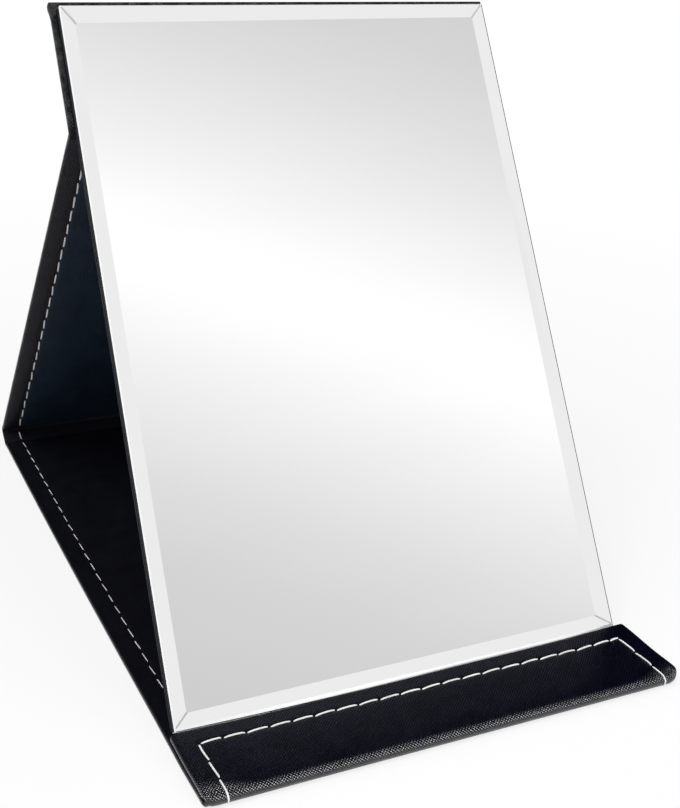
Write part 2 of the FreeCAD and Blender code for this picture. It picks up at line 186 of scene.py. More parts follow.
def ramp(tree, factor, stops):
    node = add(tree, "ValToRGB", {"Fac": factor})
    points = node.color_ramp.elements
    while len(points) < len(stops):
        points.new(0.5)
    for point, (place, colour) in zip(points, stops):
        point.position = place
        point.color = (*colour, 1)
    return node.outputs["Color"]


def principled(name, sockets):
    material = bpy.data.materials.new(name)
    material.use_nodes = True
    tree = material.node_tree
    shader = tree.nodes["Principled BSDF"]
    for key, value in sockets.items():
        shader.inputs[key].default_value = value
    return material, tree, shader


# Leather: scales of its pattern, how far its lines wander in metres, and its grain's own range
WANDER_SCALE, WANDER_REACH = 420.0, 0.0006
PEBBLE_SCALE, WAVE_SCALE, PATCH_SCALE, SCUFF_SCALE = 2600.0, 45.0, 70.0, 260.0
LINE_GRAIN, PAD_GRAIN = 0.05, 0.6
# Length of one band of Blender's wave texture at a scale of 1
BAND_LENGTH = 0.31416


def embossed(tree, uv, pitch):
    """Grain of the leather: a diagonal cross-hatch of wandering lines over a fine pebble."""
    drift = noise(tree, uv, WANDER_SCALE, 2.0)["Color"]
    shift = vector_maths(tree, "SUBTRACT", {0: drift, 1: (0.5, 0.5, 0.5)})
    shift = vector_maths(tree, "SCALE", {0: shift, "Scale": WANDER_REACH})
    moved = vector_maths(tree, "ADD", {0: uv, 1: shift})
    turned = add(tree, "Mapping", {"Vector": moved, "Rotation": (0, 0, math.radians(45))})
    sockets = {"Vector": turned.outputs[0], "Scale": BAND_LENGTH / (pitch * MM)}
    bands = [add(tree, "TexWave", sockets, bands_direction=way).outputs["Fac"] for way in "XY"]
    pads = maths(tree, "MINIMUM", *bands)
    pebble = add(tree, "TexVoronoi", {"Vector": uv, "Scale": PEBBLE_SCALE}).outputs["Distance"]
    return maths(tree, "MULTIPLY_ADD", pebble, -0.45, pads)


def worn_shine(tree, uv, grain, shine, polish):
    """Wear round the nose: its pads are polished first, and lower down the whole skin is."""
    place = add(tree, "SeparateXYZ", {0: uv}).outputs
    off = maths(tree, "SUBTRACT", place["X"], WIDTH / 2 * MM)
    off = maths(tree, "ABSOLUTE", off)
    # At the two ends the wear reaches further up
    climb = spread(tree, off, 0.5 * MM, 8.0 * MM, 80.0 * MM, WIDTH / 2 * MM, **SOFT)
    wear = spread(tree, place["Y"], 1.0, 0.0, -1.3 * MM, climb, **SOFT)
    even = spread(tree, place["Y"], 1.0, 0.0, -3.3 * MM, -2.2 * MM, **SOFT)
    pads = spread(tree, grain, 0.0, 1.0, -0.05, 0.25)
    skin = spread(tree, grain, *polish, 0.0, 0.3)
    return wear, mix(tree, wear, shine, mix(tree, even, pads, skin))


def leather(name, tones, rough, pitch, depth, gloss, polish=None, scuffed=None):
    """Black embossed leather; polish is the shine of its worn skin, where it is worn."""
    material, tree, shader = principled(name, {})
    uv = add(tree, "TexCoord").outputs["UV"]
    grain = embossed(tree, uv, pitch)
    waves = noise(tree, uv, WAVE_SCALE, 4.0)["Fac"]
    far = add(tree, "Bump", {"Height": waves, "Strength": 0.5, "Distance": 0.4 * MM})
    near = add(tree, "Bump", {"Height": grain, "Strength": 1.0, "Distance": depth * MM,
                              "Normal": far.outputs[0]})
    tree.links.new(near.outputs[0], shader.inputs["Normal"])
    patch = noise(tree, uv, PATCH_SCALE, 5.0, 0.6)["Fac"]
    tone = maths(tree, "MULTIPLY_ADD", grain, 0.5, patch)
    colour = ramp(tree, tone, ((0.25, tones[0]), (0.95, tones[1])))
    tree.links.new(colour, shader.inputs["Base Color"])
    # The pads shine, the pressed lines between them stay dull
    shine = spread(tree, grain, *gloss, LINE_GRAIN, PAD_GRAIN)
    if polish:
        wear, shine = worn_shine(tree, uv, grain, shine, polish)
        tree.links.new(spread(tree, wear, 0.4, 1.0), near.inputs["Strength"])
        shader.inputs["IOR"].default_value = 2.4
    if scuffed:
        # Patches of a few millimetres that shine more or less
        scuff = noise(tree, uv, SCUFF_SCALE, 3.0)["Fac"]
        shine = maths(tree, "MULTIPLY", shine, spread(tree, scuff, *scuffed, 0.38, 0.66))
    tree.links.new(shine, shader.inputs["Specular IOR Level"])
    dull = spread(tree, grain, 0.12, -0.05, LINE_GRAIN, PAD_GRAIN)
    uneven = spread(tree, patch, rough - 0.06, rough + 0.08, 0.3, 0.7)
    tree.links.new(maths(tree, "ADD", dull, uneven), shader.inputs["Roughness"])
    return material


def thread_material():
    """Waxed white thread: fine fibres along the twist and a little grime in patches."""
    material, tree, shader = principled("white_thread", {
        "Specular IOR Level": 0.3, "Sheen Weight": 0.25, "Sheen Roughness": 0.5})
    place = add(tree, "TexCoord").outputs["Object"]
    fibre = noise(tree, place, 5200.0, 3.0)["Fac"]
    patch = noise(tree, place, 160.0, 2.0)["Fac"]
    mixed = maths(tree, "MULTIPLY_ADD", fibre, 0.4, patch)
    colour = ramp(tree, mixed, ((0.35, (0.62, 0.62, 0.61)), (0.85, (0.86, 0.86, 0.85))))
    tree.links.new(colour, shader.inputs["Base Color"])
    tree.links.new(spread(tree, fibre, 0.6, 0.85), shader.inputs["Roughness"])
    relief = add(tree, "Bump", {"Height": fibre, "Strength": 0.5, "Distance": 0.06 * MM})
    tree.links.new(relief.outputs[0], shader.inputs["Normal"])
    return material


def speckled(name, low, high, rough, scale, bump, sockets):
    """A plain stock with its own speckle: board, tape, plated metal, ground glass, and the painted
    shade of the glass's arrises and mitres.
    """
    material, tree, shader = principled(name, sockets)
    place = add(tree, "TexCoord").outputs["Object"]
    coarse = noise(tree, place, scale, 6.0, 0.65)["Fac"]
    fine = noise(tree, place, scale * 9, 2.0)["Fac"]
    mixed = maths(tree, "MULTIPLY_ADD", fine, 0.5, coarse)
    tree.links.new(ramp(tree, mixed, ((0.45, low), (1.0, high))), shader.inputs["Base Color"])
    uneven = spread(tree, coarse, rough - 0.06, rough + 0.06, 0.3, 0.7)
    tree.links.new(uneven, shader.inputs["Roughness"])
    relief = add(tree, "Bump", {"Height": mixed, "Strength": 0.4, "Distance": bump * MM})
    tree.links.new(relief.outputs[0], shader.inputs["Normal"])
    return material


def silvered(name, low, high, rough):
    """Silvered glass: nearly clean, with faint wiping marks in its gloss."""
    material, tree, shader = principled(name, {"Metallic": 1.0})
    place = add(tree, "TexCoord").outputs["Object"]
    stretched = add(tree, "Mapping", {"Vector": place, "Scale": (4, 22, 22)}).outputs[0]
    wipe = noise(tree, stretched, 2.0, 5.0)["Fac"]
    tree.links.new(ramp(tree, wipe, ((0.3, low), (0.7, high))), shader.inputs["Base Color"])
    uneven = spread(tree, wipe, rough * 0.5, rough, 0.35, 0.65)
    tree.links.new(uneven, shader.inputs["Roughness"])
    return material


COVER = leather("cover_leather", ((0.0016, 0.0018, 0.0028), (0.0038, 0.0042, 0.0064)),
                rough=0.22, pitch=0.92, depth=0.2, gloss=(0.25, 0.8), scuffed=(0.5, 2.6))
WORN = leather("worn_leather", ((0.0002, 0.0004, 0.0036), (0.0005, 0.0012, 0.0084)),
               rough=0.3, pitch=0.92, depth=0.2, gloss=(0.03, 0.13), polish=(0.115, 0.19))
LINING = leather("lining_leather", ((0.0002, 0.0003, 0.0026), (0.0006, 0.0009, 0.0056)),
                 rough=0.5, pitch=0.7, depth=0.06, gloss=(0.2, 0.4))
# The leg's lining is the lining above with painted light: the same leather, grain and gloss, its
# colour made several times lighter
LEG_LINING_PAINTED_LIGHT = leather("leg_lining_painted_light", ((0.0042, 0.0098, 0.0188), (0.0084, 0.0192, 0.038)),
                     rough=0.5, pitch=0.7, depth=0.06, gloss=(0.2, 0.4))
MARGIN = leather("margin_leather", ((0.0008, 0.001, 0.0042), (0.0018, 0.0024, 0.009)),
                 rough=0.42, pitch=0.92, depth=0.12, gloss=(0.22, 0.55))
BACK = leather("back_leather", ((0.0012, 0.0024, 0.0046), (0.0026, 0.0052, 0.0096)),
               rough=0.6, pitch=0.7, depth=0.06, gloss=(0.05, 0.12))
THREAD = thread_material()
MIRROR = silvered("silvered_glass", (0.968, 0.968, 0.968), (0.982, 0.982, 0.982), rough=0.012)
RIM = speckled("ground_glass_rim", (0.88, 0.9, 0.9), (0.96, 0.97, 0.97), rough=0.3, scale=900.0,
               bump=0.01, sockets={"Specular IOR Level": 0.5, "Coat Weight": 0.3})
# Painted shade: near black for the arris bands where the glass's dark back shows through its edge
ARRIS_PAINTED_SHADE = speckled("glass_arris_painted_shade", (0.012, 0.012, 0.014), (0.03, 0.03, 0.033), rough=0.45,
                 scale=700.0, bump=0.01, sockets={"Specular IOR Level": 0.06})
# Painted shade: grey for the mitre lines and for the arrises at the top and the bottom of the glass
MITRE_PAINTED_SHADE = speckled("glass_mitre_painted_shade", (0.36, 0.36, 0.37), (0.46, 0.46, 0.47), rough=0.4,
                 scale=700.0, bump=0.005, sockets={"Specular IOR Level": 0.2})
BOARD = speckled("greyboard", (0.16, 0.15, 0.135), (0.34, 0.32, 0.29), rough=0.9,
                 scale=500.0, bump=0.05, sockets={})
GLUE = speckled("adhesive", (0.5, 0.47, 0.38), (0.66, 0.63, 0.54), rough=0.4,
                scale=240.0, bump=0.04, sockets={})
MAGNET = speckled("plated_magnet", (0.42, 0.42, 0.43), (0.6, 0.6, 0.61), rough=0.3,
                  scale=700.0, bump=0.01, sockets={"Metallic": 1.0})


# Meshes
def link(name, data):
    """A new object in the scene."""
    piece = bpy.data.objects.new(name, data)
    bpy.context.scene.collection.objects.link(piece)
    return piece


def make(name, points, faces, uvs, materials, face_slots=None):
    """A smooth piece of four-sided faces, from points and uv corners in millimetres."""
    mesh = bpy.data.meshes.new(name)
    mesh.from_pydata((np.asarray(points) * MM).tolist(), [], np.asarray(faces).tolist())
    layer = mesh.uv_layers.new(name="UVMap")
    layer.data.foreach_set("uv", (np.asarray(uvs) * MM).astype(np.float32).ravel())
    mesh.polygons.foreach_set("use_smooth", np.full(len(mesh.polygons), True))
    for material in materials:
        mesh.materials.append(material)
    if face_slots is not None:
        mesh.polygons.foreach_set("material_index", np.asarray(face_slots, np.int32))
    mesh.set_sharp_from_angle(angle=math.radians(50))
    mesh.update()
    return link(name, mesh)


def lines(marks, fill, gap):
    """Grid lines: all the marks, and those filling lines that keep a gap from them."""
    marks = np.unique(np.round(marks, 4))
    fill = np.array([one for one in fill if np.abs(marks - one).min() > gap])
    return np.sort(np.concatenate((marks, fill)))


def level_of(levels, height):
    """Number of the grid level at a height."""
    return int(np.argmin(np.abs(levels - height)))


def grid_box(xs, ys, zs):
    """Skin of a box on grid lines.

    Returns its points, their grid numbers, four-sided faces, and the uv corners and the lowest
    level of each face.
    """
    count = (len(xs), len(ys), len(zs))
    number = np.full(count, -1)
    skin = np.zeros(count, bool)
    for axis in range(3):
        for end in (0, -1):
            skin[tuple(end if one == axis else slice(None) for one in range(3))] = True
    number[skin] = np.arange(skin.sum())
    where = np.argwhere(skin)
    points = np.column_stack((xs[where[:, X]], ys[where[:, Y]], zs[where[:, Z]]))
    faces, levels, uvs = [], [], []
    for axis in range(3):
        one, two = [other for other in range(3) if other != axis]
        for end in (0, -1):
            sheet = number[tuple(end if other == axis else slice(None) for other in range(3))]
            quad = np.stack((sheet[:-1, :-1], sheet[1:, :-1], sheet[1:, 1:], sheet[:-1, 1:]), -1)
            if (end == 0) != (axis == Y):
                quad = quad[..., ::-1]
            quad = quad.reshape(-1, 4)
            faces.append(quad)
            levels.append(where[quad, Z].min(1))
            uvs.append(points[quad][:, :, [one, two] if axis else [two, one]])
    return points, where, np.concatenate(faces), np.concatenate(uvs), np.concatenate(levels)


def part_of(points, faces, uvs, chosen):
    """The chosen faces with only the points that they use."""
    used, packed = np.unique(faces[chosen], return_inverse=True)
    return points[used], packed.reshape(-1, 4), uvs[chosen]


# Waves of the ripple: turn per millimetre along x and y, and phase
RIPPLES = ((0.071, 0.043, 0.3), (-0.052, 0.101, 1.7), (0.118, -0.066, 4.1),
           (0.163, 0.139, 2.6), (0.028, 0.19, 5.2))


def ripple(x, y, phase):
    """Slow unevenness of leather glued on board, between -1 and 1."""
    total = sum(np.sin(kx * x + ky * y + shift + phase) for kx, ky, shift in RIPPLES)
    return total / len(RIPPLES)


# Shapes that the folded cover has taken in the photograph
ROLL_REACH, ROLL_START, ROLL_HEIGHT, ROLL_DEPTH = 10.0, 2.0, 3.4, 0.9
NOSE_ROUNDING = ((-1, 4.2), (1, 6.2))
ENDS_START, ENDS_REACH = 60.0, 40.0


def shape_nose(points):
    """Roll the flap's front over softly towards the front crease and round the nose's ends."""
    points = points.copy()
    share = (FRONT[0] + ROLL_REACH - points[:, Y]) / (ROLL_REACH + NOSE_RADIUS)
    height = np.clip((points[:, Z] - ROLL_START) / ROLL_HEIGHT, 0, None)
    points[:, Z] -= ROLL_DEPTH * np.clip(share, 0, 1) ** 2.2 * height
    for side, radius in NOSE_ROUNDING:
        round_pair(points, X, side * WIDTH / 2, -side, Y, FRONT[0] - NOSE_RADIUS, 1, radius)
    # The left end is drawn in a little, the right end of the flap flares
    back = points[:, Y] - FRONT[0]
    left_end = fade(-points[:, X] - ENDS_START, ENDS_REACH)
    points[:, X] += 0.45 * fade(24.0 - back, 24.0) * left_end
    flap_turn = 1.4 - 4.2 * np.clip(back / 33.0, 0, 1)
    base_turn = 1.2 * fade(20.0 - back, 20.0)
    turn = np.where(points[:, Z] > NOSE_RADIUS, flap_turn, base_turn)
    points[:, X] += turn * fade(points[:, X] - ENDS_START, ENDS_REACH)
    return points


def curl_flap(points):
    """The flap's rear edge stands up a little, most of all at its ends."""
    points = points.copy()
    across = points[:, X]
    lift = 0.1 + 0.5 * fade(130.0 - across, 60.0) + 1.2 * fade(32.0 - across, 32.0)
    lift += 0.45 * fade(across - 168.0, 24.0)
    points[:, Z] -= lift * fade(points[:, Y] - 8.0, 26.0)
    return points


def flare_base(points):
    """The base widens on the right towards the flap's crease, and its left edge is bowed."""
    points = points.copy()
    bow_start = 50.0
    along = (points[:, Y] - bow_start) / (SPANS["base"][1] - bow_start)
    bow = np.sin(np.pi * np.clip(along, 0, 1))
    points[:, X] -= 0.55 * bow * fade(60.0 - points[:, X], 60.0)
    share = fade(14.0 - points[:, Y], 14.0) * fade(points[:, X] - STAND_WIDTH + 40.0, 40.0)
    points[:, X] += (WIDTH - STAND_WIDTH) * share
    return points


def pull_corner(points):
    """The strip's upper left corner, where its leather is folded in, stands out a little."""
    points = points.copy()
    below = SPANS["strip"][1] - points[:, Y]
    middle = 2.0
    reach = np.where(below < middle, 1.6, 3.2)
    pull = 0.75 * np.exp(-((below - middle) / reach) ** 2)
    points[:, X] -= pull * fade(6.0 - points[:, X], 6.0)
    # Its upper edge runs down a little towards the right
    points[:, Y] -= 0.2 * np.clip(points[:, X] / 200.0, 0, 1) * fade(12.0 - below, 12.0)
    return points


SHAPED = {"flap": curl_flap, "base": flare_base, "strip": pull_corner}
AT_NOSE = ("flap", "base")


def placed(points, name):
    """Points of a panel with the shape that it has taken, in the part's frame."""
    points = SHAPED[name](points) if name in SHAPED else points
    points = to_row(points, name)
    return shape_nose(points) if name in AT_NOSE else points


# Seams: rows of stitches on a panel, and the furrow that they pull into the leather
NOSE_STITCH = 5.4


def seam_rows(name, free_end):
    """Start, end, whole stitches and the share of a short first stitch of each row on a panel."""
    width, length = SPANS[name]
    last = length - END_INSET if free_end else length
    near, far = SIDE_INSET, width - SIDE_INSET
    # On the flap the last stitch of each side runs on round the nose
    first = NOSE_STITCH if name == "flap" else 0.0
    rows = [((near, first), (near, last), 0.0), ((far, last), (far, first), 0.0)]
    if free_end:
        rows.append(((near, last), (far, last), 0.5 if name == "flap" else 0.0))
    listed = []
    for start, end, short in rows:
        reach = math.dist(start, end) / PITCH - short
        count = round(reach) if name == "flap" else int(reach)
        listed.append((np.array(start), np.array(end), count, short))
    return listed


def furrow(x, y, rows):
    """Depth of the furrow and the needle holes at points of a panel's face."""
    depth = np.zeros_like(x)
    for start, end, count, short in rows:
        way = end - start
        length = np.hypot(*way)
        way = way / length
        along = (x - start[0]) * way[0] + (y - start[1]) * way[1]
        off = (x - start[0]) * -way[1] + (y - start[1]) * way[0]
        beyond = np.clip(np.maximum(-along, along - length), 0, None)
        pitch = length / (count + short)
        hole = np.abs((along / pitch - short + 0.5) % 1 - 0.5) * pitch
        line = 0.13 * np.exp(-(off / 1.0) ** 2 - (beyond / 1.0) ** 2)
        deep = 0.24 * np.exp(-(off / 0.8) ** 2 - (hole / 0.9) ** 2 - (beyond / 0.8) ** 2)
        depth = np.maximum(depth, line + deep)
    return depth


# Panels: grid lines at an edge, at a seam and through the thickness, roundings and relief
EDGE = np.array((0, 0.1, 0.25, 0.45, 0.7, 1.0, 1.6, 3.0, 4.8))
JOINED_EDGE = EDGE[:6]
NEAR_SEAM = np.array((-2.6, -1.8, -1.2, -0.8, -0.4, 0, 0.4, 0.8, 1.2, 1.8, 2.6))
PANEL_LEVELS = np.array((0, 0.1, 0.25, 0.5, 0.8, 1.2, 1.5, 1.62,
                         1.72, 1.8, 1.88, 1.98, 2.1, 2.2, 2.3, 2.4))
SPINE_LEVELS = np.array((0, 0.06, 0.15, 0.3, 0.45, 0.53, 0.6, 0.67, 0.75, 0.9, 1.05, 1.14, 1.2))
FOLD_LEVELS = np.array((0, 0.06, 0.15, 0.3, 0.45, 0.6, 0.75, 0.9, 1.05, 1.14, 1.2))
OUTER_ROUND, INNER_ROUND, JOINED_ROUND, PLY_ROUND = 0.9, 0.6, 0.8, 0.4
HEAP = 0.05
OVERLAP = 0.06


def side_marks(width):
    """Grid lines across a panel, close together at its edges and seams."""
    return np.concatenate((EDGE, width - EDGE,
                           SIDE_INSET + NEAR_SEAM, width - SIDE_INSET - NEAR_SEAM))


def panel_lines(width, length, free_end):
    """Grid lines across and along a boarded panel."""
    fine = PITCH / 8
    across = np.arange(12, width - 12, fine) if free_end else np.linspace(14, width - 14, 20)
    marks = np.concatenate((JOINED_EDGE, length - (EDGE if free_end else JOINED_EDGE)))
    if free_end:
        marks = np.concatenate((marks, length - END_INSET + NEAR_SEAM))
    return lines(side_marks(width), across, 0.5), lines(marks, np.arange(0, length, fine), 0.3)


def press_faces(points, where, name, free_end, phase):
    """Unevenness of the two glued faces, the furrows of their seams and the turned-in leather."""
    width, length = SPANS[name]
    x, y = points[:, X].copy(), points[:, Y].copy()
    on_outer = where[:, Z] == 0
    on_inner = where[:, Z] == len(PANEL_LEVELS) - 1
    rest = fade(y, 8.0) * (1 if free_end else fade(length - y, 8.0))
    edge = np.minimum(x, width - x)
    edge = np.minimum(edge, length - y) if free_end else edge
    rest = rest * fade(edge - 0.5, 3.0)
    dent = furrow(x, y, seam_rows(name, free_end))
    if name == "flap":
        dent = dent * fade(y + 1.0, 5.0)
    lift = HEAP * (1 + ripple(x, y, phase)) * rest
    points[on_outer, Z] += (lift + dent)[on_outer]
    turn_in = 0.05 * fade(edge - 13.0, 2.0) * rest
    lift = HEAP * (1 + ripple(x, y, phase + 2.0)) * rest + turn_in
    points[on_inner, Z] -= (lift + dent)[on_inner]


def cut_notch(points, where, level, depth, reach, free_end=False):
    """The joint of two leathers along the free edges."""
    notch = depth * np.exp(-((points[:, Z] - level) / reach) ** 2)
    left, right = where[:, X] == 0, where[:, X] == where[:, X].max()
    points[:, X] += np.where(left, notch, 0) - np.where(right, notch, 0)
    if free_end:
        points[:, Y] -= np.where(where[:, Y] == where[:, Y].max(), notch, 0)


def round_panel(points, name, free_end):
    """Round the edges of a boarded panel; the flap's right edge and the strip are sharper."""
    width, length = SPANS[name]
    corner = 0.4 if name == "strip" else 1.5
    for at, way in ((0, 1), (width, -1)):
        outer = 0.5 if name == "flap" and at == 0 else OUTER_ROUND
        round_pair(points, X, at, way, Z, 0, 1, outer)
        round_pair(points, X, at, way, Z, THICK, -1, INNER_ROUND)
        if free_end:
            round_pair(points, X, at, way, Y, length, -1, corner)
    round_pair(points, Y, 0, 1, Z, THICK, -1, JOINED_ROUND)
    round_pair(points, Y, length, -1, Z, THICK, -1, INNER_ROUND if free_end else JOINED_ROUND)
    if free_end:
        round_pair(points, Y, length, -1, Z, 0, 1, OUTER_ROUND)


def press_margins(points, y, width, length):
    """The leg's margins are pressed down towards the edge."""
    margin = np.clip(1 - np.minimum(points[:, X], width - points[:, X]) / 7.5, 0, 1)
    margin = margin * fade(y, 4.0) * fade(length - y, 4.0)
    half = THICK / 2
    points[:, Z] -= 0.5 * margin ** 2 * np.clip((points[:, Z] - half) / half, 0, 1)


def boarded_panel(name, body, free_end, phase):
    """A boarded panel: outer leather turned over the edges, lining sewn on, a seam between."""
    width, length = SPANS[name]
    xs, ys = panel_lines(width, length, free_end)
    points, where, faces, uvs, levels = grid_box(xs, ys, PANEL_LEVELS)
    press_faces(points, where, name, free_end, phase)
    cut_notch(points, where, SEAM_LEVEL, 0.2, 0.07, free_end)
    round_panel(points, name, free_end)
    # The joined ends reach a hair past the boards, which stay covered
    points[where[:, Y] == 0, Y] -= OVERLAP
    if not free_end:
        points[where[:, Y] == len(ys) - 1, Y] += OVERLAP
    if name == "leg":
        press_margins(points, ys[where[:, Y]], width, length)
    points = placed(points, name)

    inner = levels >= level_of(PANEL_LEVELS, SEAM_LEVEL)
    outside = WORN if name in AT_NOSE else COVER
    cover = make(name + "_cover", *part_of(points, faces, uvs, ~inner), [outside])
    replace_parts(cover, name + "_outer_leather")
    # The strip shows turned leather inside, and so does the leg outside its seam; inside its seam
    # the leg's lining is painted lighter, as painted light
    inside = {"strip": [COVER], "leg": [LEG_LINING_PAINTED_LIGHT, MARGIN]}.get(name, [LINING])
    across = uvs[inner][..., 0]
    margin = np.minimum(across, width - across).mean(1) < SIDE_INSET
    lining = make(name + "_inside", *part_of(points, faces, uvs, inner), inside,
                  margin if name == "leg" else None)
    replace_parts(lining, name + "_lining")
    for piece in (cover, lining):
        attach(piece, body)


boarded_panel("base", "base", False, 0.0)
boarded_panel("leg", "leg", False, 1.1)
boarded_panel("strip", "mirror", True, 2.3)
boarded_panel("flap", "flap", True, 3.6)


def bent_board():
    """The flap's board, bent along with the flap's rear edge."""
    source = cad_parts["flap_board"]
    shape = bmesh.new()
    shape.from_mesh(source.data)
    shape.transform(source.matrix_world)
    cuts = [((place * MM, 0, 0), (1, 0, 0)) for place in np.linspace(-96, 96, 33)]
    cuts += [((0, (FRONT[0] + place) * MM, 0), (0, 1, 0))
             for place in (10.0, 14.0, 17.0, 28.0, 31.0)]
    for point, normal in cuts:
        everything = shape.verts[:] + shape.edges[:] + shape.faces[:]
        bmesh.ops.bisect_plane(shape, geom=everything, plane_co=point, plane_no=normal)
    origin, axes = FRAMES["flap"]
    points = (np.array([vert.co for vert in shape.verts]) / MM - origin) @ axes.T
    for vert, place in zip(shape.verts, placed(points, "flap") * MM):
        vert.co = place
    mesh = bpy.data.meshes.new("flap_stiffener")
    shape.to_mesh(mesh)
    shape.free()
    mesh.materials.clear()
    mesh.materials.append(BOARD)
    piece = link("flap_stiffener", mesh)
    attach(piece, "flap")
    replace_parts(piece, "flap_board")


bent_board()


def thin_panel():
    """The spine: two plies on each other, with no board between."""
    width, length = SPANS["spine"]
    xs = lines(side_marks(width), np.linspace(14, width - 14, 20), 0.5)
    points, where, faces, uvs, levels = grid_box(xs, np.linspace(0, length, 9), SPINE_LEVELS)
    cut_notch(points, where, PLY / 2, 0.12, 0.05)
    for at, way in ((0, 1), (width, -1)):
        round_pair(points, X, at, way, Z, 0, 1, PLY_ROUND)
        round_pair(points, X, at, way, Z, PLY, -1, PLY_ROUND)
    points = to_row(points, "spine")
    inner = levels >= level_of(SPINE_LEVELS, PLY / 2)
    cover = make("spine_cover", *part_of(points, faces, uvs, ~inner), [COVER])
    lining = make("spine_inside", *part_of(points, faces, uvs, inner), [LINING])
    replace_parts(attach(cover, "rear_spine"), "spine_outer_leather")
    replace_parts(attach(lining, "rear_spine"), "spine_lining")


thin_panel()

# Folds: the fuller ones' thickness, the swell of the top fold, and where their bending is shared
NOSE_THICK, TOP_THICK = 2.2, 2.1
TOP_SWELL = 0.3


def fold(name, axis, start, sweep, radius, hollow_side, width=STAND_WIDTH, thick=PLY):
    """Both plies bent about an axis; they turn smoothly with the two panels that they join."""
    arc = radius * math.radians(sweep)
    steps = max(7, int(sweep / 7))
    ys = np.concatenate(((-SETBACK, -SETBACK / 2), np.linspace(0, arc, steps),
                         (arc + SETBACK / 2, arc + SETBACK)))
    xs = lines(side_marks(width), np.arange(14, width - 14, 6.0), 0.5)
    points, _, faces, uvs, levels = grid_box(xs, ys, FOLD_LEVELS * thick / PLY)
    for at, way in ((0, 1), (width, -1)):
        round_pair(points, X, at, way, Z, 0, 1, min(0.42 * thick, OUTER_ROUND))
        round_pair(points, X, at, way, Z, thick, -1, min(0.33 * thick, INNER_ROUND))
    x, s, t = points.T
    bent = np.clip(s, 0, arc)
    turn = np.radians(start + sweep * (bent / arc if hollow_side == "in" else 1 - bent / arc))
    out = np.stack((np.cos(turn), np.sin(turn)), -1)
    tangent = np.stack((-np.sin(turn), np.cos(turn)), -1)
    if hollow_side == "in":
        reach, slide = radius - t, s - bent
    else:
        reach, slide = t + TOP_SWELL * np.sin(np.pi * bent / arc), bent - s
    side_view = np.array(axis) + out * reach[:, None] + tangent * slide[:, None]
    row = np.column_stack((x - WIDTH / 2, side_view))
    leathers = [COVER, LINING]
    if name == "front_fold":
        row = shape_nose(row)
        # The grain runs on from the flap
        uvs, leathers = np.array((WIDTH, 0)) - uvs, [WORN, LINING]
    piece = make(name, row, faces, uvs, leathers, levels >= level_of(FOLD_LEVELS, PLY / 2))
    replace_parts(piece, name + "_leather")
    return piece


def lay_folds():
    low = fold("lower_rear_fold", REAR_LOW, -90, SPINE_ANGLE, REAR_RADIUS, "in")
    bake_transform(low)
    high = fold("upper_rear_fold", REAR_HIGH, SPINE_ANGLE - 90, LEG_ANGLE - SPINE_ANGLE,
                REAR_RADIUS, "in")
    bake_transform(high)
    nose = fold("front_fold", FRONT, 90, 180, NOSE_RADIUS, "in", WIDTH, NOSE_THICK)
    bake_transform(nose)
    top = fold("top_fold", TOP, MIRROR_ANGLE + 90, LEG_ANGLE - MIRROR_ANGLE, PLY, "out",
               thick=TOP_THICK)
    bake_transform(top)


lay_folds()

# Stitches: a two-ply twisted thread that comes out of one needle hole and dives into the next
THREAD_RADIUS = 0.4
TWIST_LENGTH = 2.6
TAPER = 0.35
SLANT = 3.5


def thread_tube(path, normal, radius=THREAD_RADIUS, around=9):
    """Twisted thread along a path; normal is the face's outward direction at each point."""
    path, normal = np.asarray(path, float), np.asarray(normal, float)
    way = np.gradient(path, axis=0)
    way /= np.linalg.norm(way, axis=1)[:, None]
    side = np.cross(way, normal)
    side /= np.linalg.norm(side, axis=1)[:, None]
    up = np.cross(side, way)
    length = np.concatenate(((0,), np.cumsum(np.linalg.norm(np.diff(path, axis=0), axis=1))))
    ends = np.clip(np.minimum(length, length[-1] - length) / TAPER, 0, 1)
    thick = radius * np.sqrt(np.clip(1 - (1 - ends) ** 2, 0.02, 1))
    turn = np.arange(around) / around * 2 * np.pi
    twist = 2 * np.pi * length / TWIST_LENGTH
    swell = 0.91 + 0.09 * np.cos(2 * (turn[None, :] - twist[:, None]))
    ring = (thick[:, None] * swell)[..., None]
    points = path[:, None] + ring * (np.cos(turn)[None, :, None] * side[:, None]
                                     + np.sin(turn)[None, :, None] * up[:, None])
    one = np.arange(len(path) - 1)[:, None] * around
    col = np.arange(around)
    after = (col + 1) % around
    quads = np.stack((one + col, one + after, one + around + after, one + around + col), -1)
    return points.reshape(-1, 3), quads.reshape(-1, 4)


def joined(tubes):
    """Points, faces and uv corners of several tubes as one mesh."""
    points, faces, start = [], [], 0
    for some_points, some_faces in tubes:
        points.append(some_points)
        faces.append(some_faces + start)
        start += len(some_points)
    points, faces = np.concatenate(points), np.concatenate(faces)
    return points, faces, points[faces][:, :, :2]


def stitch_row(row, surface, outward, crown, fill, slant, radius=THREAD_RADIUS, arch=0.0, steps=15):
    """Stitches at an even pitch between two points of a panel's face."""
    start, end, count, short = row
    way = end - start
    pitch = np.hypot(*way) / (count + short)
    angle = math.atan2(way[1], way[0])
    spans = [(index + short, 1.0) for index in range(count)] + ([(0.0, short)] if short else [])
    share = np.linspace(-1, 1, steps)
    height = crown - (crown + 0.6) * np.abs(share) ** 5
    tubes = []
    for index, (first, whole) in enumerate(spans):
        # No two stitches lean, reach or bow quite alike
        lean = slant + 1.6 * math.sin(2.4 * index + start[0])
        long = fill * whole * pitch / 2 * (1 + 0.025 * math.sin(1.7 * index + 0.4 * start[1]))
        bow = (arch + 0.1 * math.sin(3.1 * index + 1.0)) * whole * (1 - share ** 2)
        turn = angle + math.radians(lean)
        middle = start + way * (first + whole / 2) / (count + short)
        path = np.column_stack((middle[0] + math.cos(turn) * long * share - math.sin(turn) * bow,
                                middle[1] + math.sin(turn) * long * share + math.cos(turn) * bow,
                                surface + outward * height))
        tubes.append(thread_tube(path, np.tile((0, 0, outward), (steps, 1)), radius))
    return tubes


